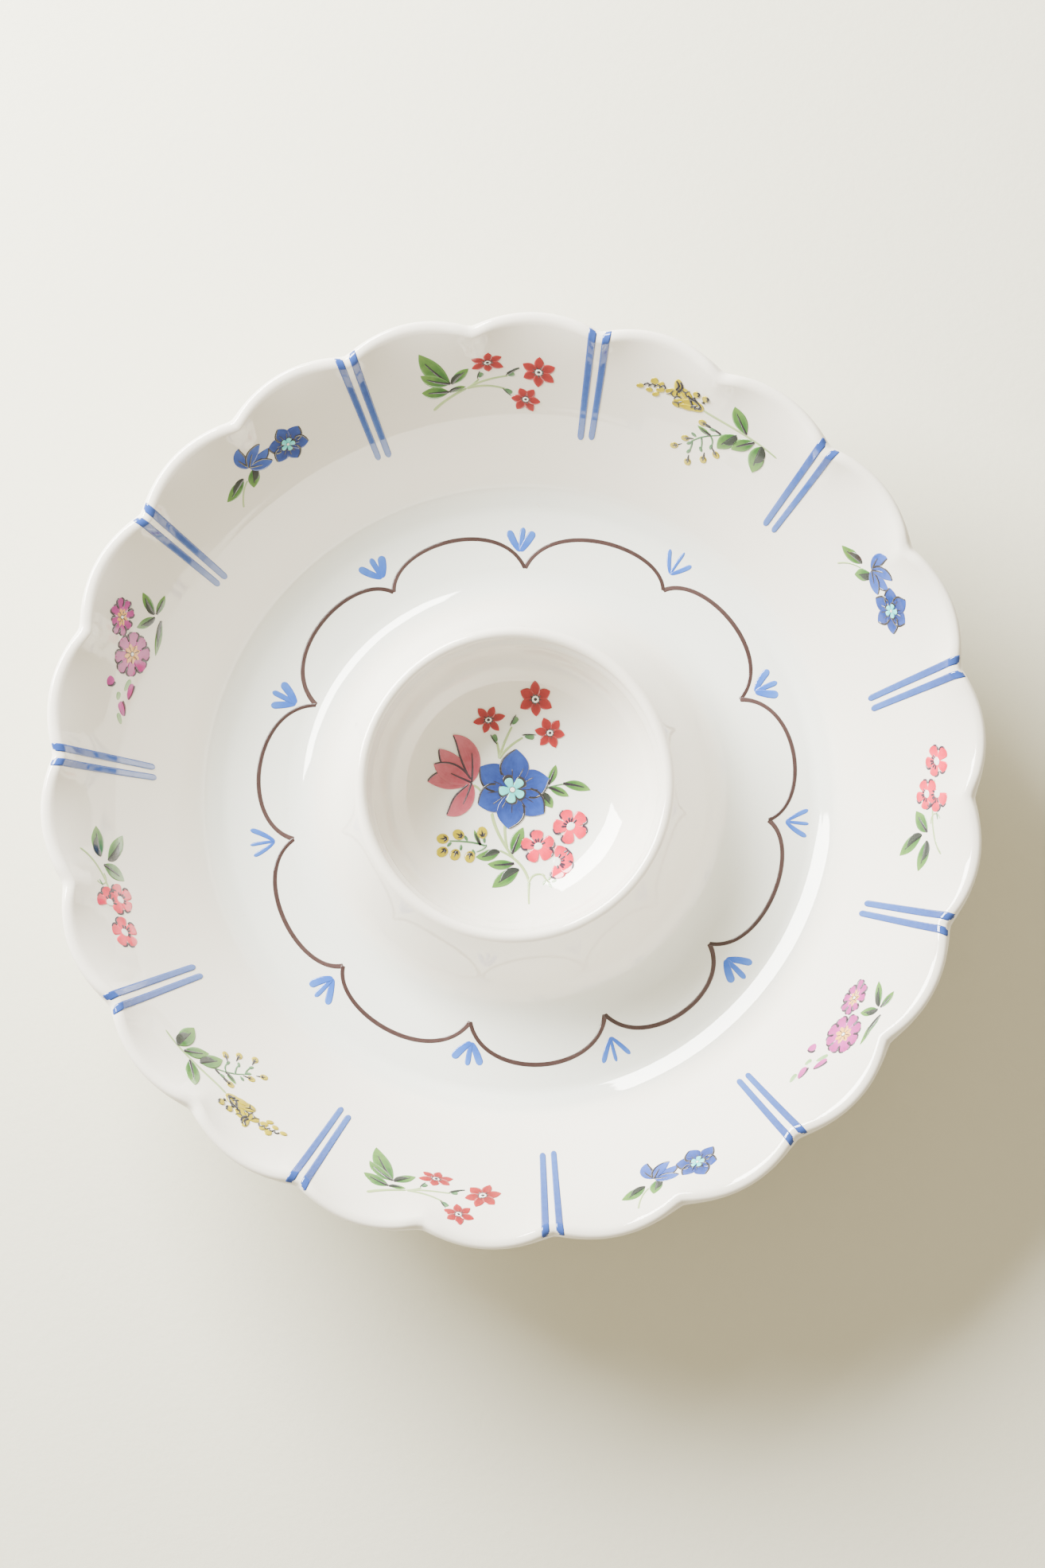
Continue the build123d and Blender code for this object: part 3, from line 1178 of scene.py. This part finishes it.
def blue_flower(painting, centre, reach, turn):
    """Six overlapping dark blue petals round five small turquoise hearts."""
    flower = Bloom(painting, centre, turn)
    drawn = flower.petals(petal_blue, reach, 6, reach * 0.32, ovate)
    flower.inked(drawn, ink)
    flower.ticks(ink, reach * 0.3, reach * 0.58, 12, further=0.2, half=0.12)
    heart = reach * 0.34
    flower.petals(ink, heart * 1.16, 5, heart * 0.40, rounded, further=0.4, tip_round=0.3)
    flower.petals(turquoise, heart, 5, heart * 0.30, rounded, further=0.4, tip_round=0.3, notch=0.22)
    painting.blot(ink, centre, heart * 0.25)
    painting.blot(reserve, centre, heart * 0.19)


print("red stars and blue flowers ready")


# %% Coral and mauve flowers
def coral_flower(painting, centre, reach, turn, count=5, spread=2 * pi):
    """Round coral petals, a white middle and a fan of dark dashes."""
    flower = Bloom(painting, centre, turn)
    drawn = flower.petals(coral, reach, count, reach * 0.36, rounded, spread=spread, root=0.16,
                          tip_round=0.32)
    flower.inked(drawn, plum, 0.5)
    painting.blot(reserve, centre, reach * 0.27, reach * 0.22, turn)
    flower.ticks(plum, reach * 0.22, reach * 0.5, 6, further=0.2, spread=2.8, half=reach * 0.04)


def mauve_flower(painting, centre, reach, turn, flat=1.0, lean=0.0):
    """Eight notched mauve petals round an apricot middle with dark stamens."""
    flower = Bloom(painting, centre, turn, flat, lean)
    drawn = flower.petals(mauve, reach, 8, reach * 0.26, frilled, tip_round=0.2, notch=0.16)
    flower.inked(drawn, plum, 0.5, both=True)
    flower.petals(apricot, reach * 0.48, 8, reach * 0.12, pointed, further=0.2)
    flower.ticks(plum, reach * 0.14, reach * 0.36, 7, half=0.13)
    painting.blot(plum, centre, reach * 0.12)
    painting.blot(reserve, centre, reach * 0.08)


print("coral and mauve flowers ready")


# %% Cups and buds
def green_cup(painting, base, tip, side):
    """The green cup under a small flower, dark on one side."""
    painting.motif()
    painting.stroke(bud_green, [base, tip], (0.5, 1.25, 1.0), (0.3, 0.2))
    dark = [beside(base, tip, share, side * out) for share, out in ((-0.3, 0.4), (0.4, 1.1), (1.2, 1.0))]
    painting.stroke(leaf_shadow, dark, (0.15, 0.5, 0.1), (0.1, 0.1))


def yellow_bud(painting, centre, towards, size):
    """A round yellow bud with a dark three-pronged cap where its stalk ends."""
    painting.motif()
    painting.blot(yellow, centre, size * 1.1, size * 0.95, towards)
    cap = around(centre, towards, size * 0.75)
    for swing, prong in ((-0.75, 0.85), (0.0, 1.25), (0.75, 0.85)):
        tip = around(cap, towards + pi + swing, size * prong)
        painting.stroke(ink, [cap, tip], (size * 0.28, 0.12), (0.1, 0.1))


print("cups and buds ready")

# %% [markdown]
# ## The red spray
# Three red stars on a stem that forks in three, with five leaves at its foot.

# %% Compose the red spray
def red_spray(painting):
    """Stems first, then leaves, cups and stars."""
    fork = (-8.0, -3.0)
    painting.stroke(stem_green, [(-22, -11), (-16, -6), fork], (0.75, 0.7, 0.5), (0.08, 0.08))
    painting.line(stem_green, [fork, (-5, -1.5), (-3, 1.0)], 0.54, 0.41)
    painting.line(stem_green, [fork, (-2, 0.5), (8.6, 1.6)], 0.57, 0.41)
    painting.line(stem_green, [fork, (0, -1.4), (7.2, -4.8)], 0.57, 0.41)
    leaf(painting, (-14.3, 0), (-25.5, 16), 3.4, 1.2)
    leaf(painting, (-14.3, 0.2), (-25.8, 6.6), 2.4, 1.3)
    leaf(painting, (-15.1, -3.5), (-26, -1.4), 2.6, 0.4)
    leaf(painting, (-13.9, 0), (-6.6, 6.6), 2.0, 0.2, 1)
    leaf(painting, (-15.1, -3.6), (-8.4, -2.1), 1.1, 0.4, 1)
    green_cup(painting, (-2.8, 1.6), (-1.6, 4.0), 1)
    green_cup(painting, (8.6, 1.8), (11.2, 2.6), 1)
    painting.line(leaf_shadow, [(8.4, 2.4), (10.5, 4.4), (13.4, 5.2)], 0.66, 0.33)
    green_cup(painting, (7.0, -4.6), (9.4, -7.0), -1)
    red_star(painting, (1.0, 8.6), 7.0, 0.5, 0.66)
    red_star(painting, (20.8, 3.4), 7.2, 0.4)
    red_star(painting, (14.6, -9.8), 6.0, 0.9)


print("the red spray is composed")

# %% [markdown]
# ## The yellow spray
# A drooping head of small yellow blooms with ink marks, a side twig of round buds, and
# four broad leaves.

# %% Compose the yellow head
plump = 1.14
yellow_touches = [
    (17, -9, 2.6, 1.5, 1.9), (17.6, -5.4, 3.0, 1.6, 0.2), (12.6, -6.4, 3.2, 1.9, 2.5),
    (13.6, -1.8, 3.0, 2.0, 0.4), (8.6, -3.4, 4.0, 2.4, 0.1), (10.5, -1.4, 2.6, 1.3, 0.2),
    (22.9, -4.2, 1.5, 1.1, 0.4), (27.0, -2.6, 1.2, 1.0, 0), (24.0, -1.6, 1.3, 1.0, 0.6),
    (26.4, -7.2, 1.3, 1.4, 0), (31, -3.2, 1.3, 1.0, 0.2), (23.6, -6.6, 1.4, 1.0, 1),
]
yellow_caps = [((18.6, -4.6), 0.6), ((13.4, -7.4), 2.2), ((14.6, -1.6), 0.2), ((16.0, -4.4), 1.2)]


def yellow_head(painting):
    """Touches of yellow that crowd together, then thin out into beads at the tip."""
    painting.motif()
    for x, y, long, short, turn in yellow_touches:
        painting.blot(yellow, (x, y), long * plump, short * plump, turn)
    for number in range(4):
        x, y = 28.6 - number * 2.1, -4.6 - number * 0.45
        hook = [(x + 0.9, y + 0.7), (x + 1.0, y - 1.2), (x - 1.2, y - 1.0), (x - 0.9, y + 0.7)]
        painting.line(ink, hook, 0.34, 0.26)
    for cap, swing in yellow_caps:
        for turn in (0, 1.9, 3.8):
            tip = around(cap, swing + turn, 2.1)
            painting.stroke(ink, [cap, tip], (0.36, 0.12), (0.1, 0.1))
    painting.line(ink, [(17.2, -6.8), (15.6, -9.2), (18.4, -10.8)], 0.53, 0.31)
    painting.line(ink, [(16.2, -6.2), (14.0, -9.0), (16.8, -11.0)], 0.53, 0.31)
    painting.line(ink, [(12.4, -6.4), (9.6, -7.0), (11.0, -3.6), (8.0, -1.6), (5.0, -3.6)], 0.53, 0.35)
    painting.line(ink, [(11.4, -5.8), (7.6, -6.6), (5.2, -3.8)], 0.57, 0.35)
    for x in (9.2, 7.6):
        painting.line(ink, [(x, -2.0), (x - 0.6, -3.4), (x - 2.0, -4.2)], 0.4, 0.22)
    for bud in ((9.0, -9.0), (5.0, -9.2)):
        painting.blot(yellow, bud, 1.5)
        hook = [around(bud, 2.6, 1.1), around(bud, 3.9, 1.9), around(bud, 4.9, 1.1)]
        painting.line(ink, hook, 0.48, 0.31)
        painting.blot(ink, (bud[0] + 0.3, bud[1] + 2.2), 0.7, 0.5)


print(len(yellow_touches), "touches make a yellow head")

# %% Compose the yellow spray
twig_lines = [
    ([(-12, -0.3), (-6, 3.4), (-2.2, 6.4)], 0.41),
    ([(-2.2, 6.4), (2.0, 9.6), (4.6, 14.6)], 0.27),
    ([(-2.2, 6.4), (-4.6, 8.0), (-4.2, 11.2)], 0.34),
    ([(1.0, 9.0), (-0.6, 11.4), (-0.8, 14.6)], 0.34),
    ([(3.8, 12.6), (2.6, 15.4), (3.4, 18.4)], 0.34),
]
twig_knots = [(4.4, 14.4, 0.9), (-4.2, 11.2, 1.6), (-0.8, 14.6, 2.2), (3.4, 18.2, 1.2),
              (4.0, 9.6, 2.8), (-2.2, 3.2, 0.2)]
twig_buds = [((9.6, 18.6), 3.9), ((6.6, 13.0), 3.6), ((2.2, 23.2), 4.9), ((-3.2, 18.6), 4.9),
             ((-7.2, 13.4), 5.6), ((2.6, 2.4), 3.2)]


def yellow_spray(painting):
    """A stem, a twig of buds, the leaves and last the head of blooms."""
    painting.line(stem_green, [(4, -3.4), (-8, -1.6), (-20, -3.2), (-30.4, -2.2)], 0.57, 0.41)
    for twig, fine_end in twig_lines:
        painting.line(bud_green, twig, 0.41, fine_end)
    painting.line(ink, [(-6, 3.4), (-2.6, 2.6), (1.4, 3.0)], 0.57, 0.35)
    for x, y, turn in twig_knots:
        painting.blot(bud_green, (x, y), 1.3, 0.7, turn)
    for bud, turn in twig_buds:
        stalk = around(bud, turn, 3.6)
        painting.stroke(ink, [stalk, around(bud, turn, 1.1)], (0.16, 0.5), (0.1, 0.1))
        yellow_bud(painting, bud, turn, 1.6)
    leaf(painting, (-2.2, 6.2), (4.0, 4.6), 1.0, 0.3)
    leaf(painting, (-15.4, -3.2), (-6.8, -12.2), 2.9, 0.6)
    leaf(painting, (-11.8, -0.1), (-6.6, 10.2), 2.9, -0.4, 1)
    leaf(painting, (-19.6, -2.0), (-12, 7.1), 2.5, -0.6)
    leaf(painting, (-23, -2.6), (-23.4, 10.8), 3.3, -0.6, 1)
    yellow_head(painting)


print("the yellow spray is composed")

# %% [markdown]
# ## The blue spray
# A dark blue six-petalled flower, a paler bell beside it, two leaves and a thin stalk.

# %% Compose the blue spray
def bell(painting, paint, base, tips, half, line):
    """A half-open flower seen from the side, one curved petal for each tip."""
    painting.motif()
    for number, (tip, bow) in enumerate(tips):
        spine = [base, beside(base, tip, 0.35, bow), beside(base, tip, 0.75, bow), tip]
        widths = (0.4, half * 1.5, half * 1.35, 0.0)
        painting.stroke(paint, spine, widths, (0.08, 0.02))
        ink_edge(painting, line, spine, widths, 0.02, 1 if number % 2 else -1, 0.05)
        vein = [base, beside(base, tip, 0.3, bow * 0.7), beside(base, tip, 0.55, bow)]
        painting.line(line, vein, 0.44, 0.2)


def blue_spray(painting):
    """A stalk, two leaves, the bell and the open flower."""
    painting.line(stem_green, [(-17.4, -9.2), (-15, -3), (-10.4, -0.4)], 0.41, 0.41)
    leaf(painting, (-11.4, 1.6), (-22.0, -1.8), 2.5, 0.8, -1)
    leaf(painting, (-5.9, 2.6), (-9.8, -5.0), 2.5, 0.3, 1)
    tips = (((3.4, 6.6), -1.2), ((2.4, 0.2), -0.6), ((-6.8, 15.0), 2.4), ((1.4, 10.4), 1.6))
    bell(painting, tulip_blue, (-7.0, 4.0), tips, 2.2, ink)
    blue_flower(painting, (10.8, 2.8), 8.6, 0.55)


print("the blue spray is composed")

# %% [markdown]
# ## The coral spray
# Three coral flowers in a bunch, three leaves, and one curling tendril.

# %% Compose the coral spray
def coral_spray(painting):
    """A stem and a tendril, the leaves, then the flowers."""
    painting.line(stem_green, [(10.5, -5.3), (-2, -3.8), (-12, -4.6), (-19.4, -12)], 0.46, 0.41)
    painting.line(stem_green, [(-7, -4.4), (-1.6, -3.4), (-2.4, -8.2), (-5.2, -9.4)], 0.35, 0.27)
    painting.line(bud_green, [(-2.6, -7.2), (-5.4, -8.0)], 0.41, 0.27)
    leaf(painting, (-10.1, -2.9), (-1.2, 4.8), 2.7, 0.5)
    leaf(painting, (-11.0, 0.0), (-18.6, 11.2), 2.9, -0.8, -1)
    leaf(painting, (-13.4, -3.0), (-25.6, -1.2), 2.9, 0.4, 1)
    coral_flower(painting, (17.6, -6.6), 6.4, 0.35)
    coral_flower(painting, (4.7, -7.0), 6.6, 0.9, count=4, spread=4.4)
    coral_flower(painting, (5.1, -1.0), 6.2, 0.5)


print("the coral spray is composed")

# %% [markdown]
# ## The mauve spray
# Two mauve flowers, one turned away, four narrow leaves and a trail of pink buds.

# %% Compose the mauve spray
def pink_bud(painting, start, end, half):
    """A closed bud with one ink side and a pale green foot."""
    painting.motif()
    painting.stroke(mauve, [start, end], (half * 0.9, half * 1.3, half * 0.5), (0.3, 0.3))
    edge = [beside(start, end, share, half * out) for share, out in ((0.05, 0.7), (0.5, 1.3), (1.0, 0.1))]
    painting.line(plum, edge, 0.57, 0.26)


bud_feet = [((10.4, 3.7), (14.9, 0.7)), ((15.3, -2.0), (18.5, -2.8)), ((23.4, -2.7), (27.7, -1.2))]


def mauve_spray(painting):
    """A trail of buds, four leaves and two flowers."""
    for start, end in bud_feet:
        painting.stroke(bud_pale, [start, end], (0.9, 1.5, 0.5), (0.2, 0.2))
    pink_bud(painting, (10.2, -5.0), (12.8, -8.2), 2.1)
    pink_bud(painting, (12.0, 4.9), (18.2, 2.7), 1.5)
    pink_bud(painting, (19.0, -1.4), (24.6, 0.7), 1.7)
    leaf(painting, (-16, 11), (-24.6, 3.0), 1.8, 0.3, 1)
    leaf(painting, (-16, 12), (-24.2, 13.6), 1.6, -0.3)
    leaf(painting, (-14.8, 11.6), (-10.2, 3.6), 1.9, 0.3, 1)
    leaf(painting, (-13.7, 14.8), (0.6, 15.2), 1.5, 0.4, -1)
    mauve_flower(painting, (-14.0, -4.4), 7.6, 0.3, 0.72, 0.15)
    mauve_flower(painting, (0.4, 3.1), 8.8, 0.1)


print("the mauve spray is composed")

# %% [markdown]
# ## The sprays on the wall
# Five drawings are laid eleven times round the wall. Each has its own angle, radius and
# turn, because a painter sets them by eye, and its own slips of the hand.

# %% Lay the sprays round the wall
sprays = [
    ("red", red_spray, 88.7, 160.5, 0), ("yellow", yellow_spray, 56.4, 162, 180),
    ("blue", blue_spray, 22.9, 159.9, 0), ("coral", coral_spray, 351, 160.2, 180),
    ("mauve", mauve_spray, 317, 160, 0), ("blue", blue_spray, 286.6, 167, 182),
    ("red", red_spray, 253.2, 163.2, 176), ("yellow", yellow_spray, 221, 163, 184),
    ("coral", coral_spray, 189.4, 160, 190), ("mauve", mauve_spray, 155.9, 161, 197),
    ("blue", blue_spray, 122.1, 160, -2),
]
for number, (colour, compose, angle, radius, turn) in enumerate(sprays, 1):
    spray = Painting(f"{colour}_spray_{number:02d}", on_wall(radius * mm, radians(angle), radians(turn)))
    compose(spray)
    spray.finished("flower_colours")

# %% [markdown]
# ## The bouquet in the bowl
# The same flowers meet in one loose bunch on the floor of the bowl, with a rose-red
# half-open flower added, and their stems gather at the foot.

# %% The stems and leaves
def bouquet_greens(painting):
    """Stems that meet at the foot, a tendril, and eight leaves."""
    foot = (4.2, -34.0)
    painting.line(stem_green, [(4.4, -43.4), (4.0, -38), foot], 0.41, 0.68)
    painting.line(stem_green, [foot, (2.6, -27), (-2, -23.4), (-7.5, -21)], 0.61, 0.41)
    painting.line(stem_green, [(-10.6, -6), (-9.4, -14), (-2.0, -24)], 0.68, 0.54)
    painting.line(stem_green, [(-5.4, -10.4), (-5.6, -16), (-4.4, -20)], 0.61, 0.47)
    painting.line(stem_green, [foot, (5.0, -30.5), (8.0, -30), (10.6, -31.4)], 0.54, 0.34)
    for x, y, turn in ((12.6, -35.4, 2.2), (14.2, -33.6, 0.4), (10.2, -34.2, 1.0), (12.4, -32.4, 0.9)):
        painting.blot(bud_pale, (x, y), 1.1, 0.5, turn)
    painting.line(stem_green, [(9.4, -30.4), (10.6, -33), (12.6, -34.4)], 0.41, 0.27)
    painting.line(stem_green, [(-18, 5.2), (-15.6, 4.4), (-14.3, 1.5)], 0.47, 0.41)
    for tip, bend in (((-8.6, 22.4), (-7.8, 19)), ((-2.6, 28.6), (-6.6, 21)), ((1.8, 24.2), (-5, 20.4))):
        painting.line(stem_green, [(-7.6, 15.8), bend, tip], 0.57, 0.41)
    painting.line(bud_green, [(8.4, 2.5), (12.1, 4.8), (19.5, 5.6)], 0.34, 0.27)
    leaf(painting, (11.8, 5.2), (14.8, 13.2), 1.6, -0.3)
    leaf(painting, (17.6, 5.6), (28.6, 2.8), 1.9, 0.7)
    leaf(painting, (12.1, 4.1), (20.0, 0.4), 1.6, 0.3)
    leaf(painting, (9.0, 1.6), (13.4, -4.2), 2.0, 0.4, 1)
    leaf(painting, (-7.5, -21.4), (-17.0, -23.6), 2.1, 0.6, -1)
    leaf(painting, (-2.6, -22.4), (1.9, -11.8), 2.4, 0.3)
    leaf(painting, (-1.7, -26.2), (-12.4, -26.4), 1.9, 0.6)
    leaf(painting, (0.2, -28.6), (-10.4, -36.2), 2.7, -0.3, -1)


print("stems and leaves are composed")

# %% The yellow twig
bouquet_knots = [(-27.4, -18.6, 0.8), (-20.8, -16.0, 5.2), (-22.8, -19.8, 1.5), (-13.6, -16.8, 4.8),
                 (-17.8, -21.6, 2.0)]
bouquet_buds = [((-30.0, -16.4), 0.1), ((-23.8, -14.6), 5.8), ((-14.4, -13.8), 4.9),
                ((-30.1, -21.8), 0.7), ((-25.1, -22.8), 1.2), ((-19.3, -23.6), 1.4)]


def bouquet_yellow(painting):
    """A twig with green knots and six round buds."""
    painting.line(bud_green, [(-12.5, -19.4), (-18, -17), (-27.4, -17.2)], 0.38, 0.27)
    painting.line(bud_green, [(-13, -18.6), (-12.4, -20), (-16.8, -21.6)], 0.38, 0.27)
    leaf(painting, (-15.0, -18.8), (-17.6, -12.6), 0.8, 0.3)
    for x, y, turn in bouquet_knots:
        painting.blot(bud_green, (x, y), 1.2, 0.6, turn)
    for bud, turn in bouquet_buds:
        yellow_bud(painting, bud, turn, 2.2)


print(len(bouquet_buds), "buds on the yellow twig")

# %% Compose the bouquet and lay it in the bowl
rose_tips = [((-36.0, 6.4), -1.4), ((-31.4, 19.6), 0.4), ((-28.6, -6.8), 2.6), ((-26.0, 25.2), -4.4),
             ((-33.6, 13.4), 0.2)]


def bouquet(painting):
    """Greens and buds first, then every flower, the blue one last."""
    bouquet_greens(painting)
    bouquet_yellow(painting)
    bell(painting, tulip_rose, (-18.6, 6.2), rose_tips, 3.5, plum)
    green_cup(painting, (-8.6, 22.6), (-10.0, 25.4), 1)
    green_cup(painting, (-2.4, 29.4), (-0.4, 32.2), 1)
    green_cup(painting, (2.4, 24.6), (6.2, 24.2), 1)
    red_star(painting, (-11.9, 31.2), 6.6, 0.2, 0.8, 0.1)
    red_star(painting, (6.9, 39.0), 7.0, 0.5)
    red_star(painting, (12.5, 25.9), 6.2, 0.9)
    coral_flower(painting, (20.7, -11.5), 6.8, 0.7)
    coral_flower(painting, (15.2, -25.7), 7.0, -1.5, count=4, spread=3.6)
    coral_flower(painting, (7.8, -19.4), 6.5, 0.4)
    blue_flower(painting, (-2.4, 3.2), 15.4, 0.36)


middle_bouquet = Painting("bowl_bouquet", from_above(picture_turn))
bouquet(middle_bouquet)
middle_bouquet.finished("flower_colours")
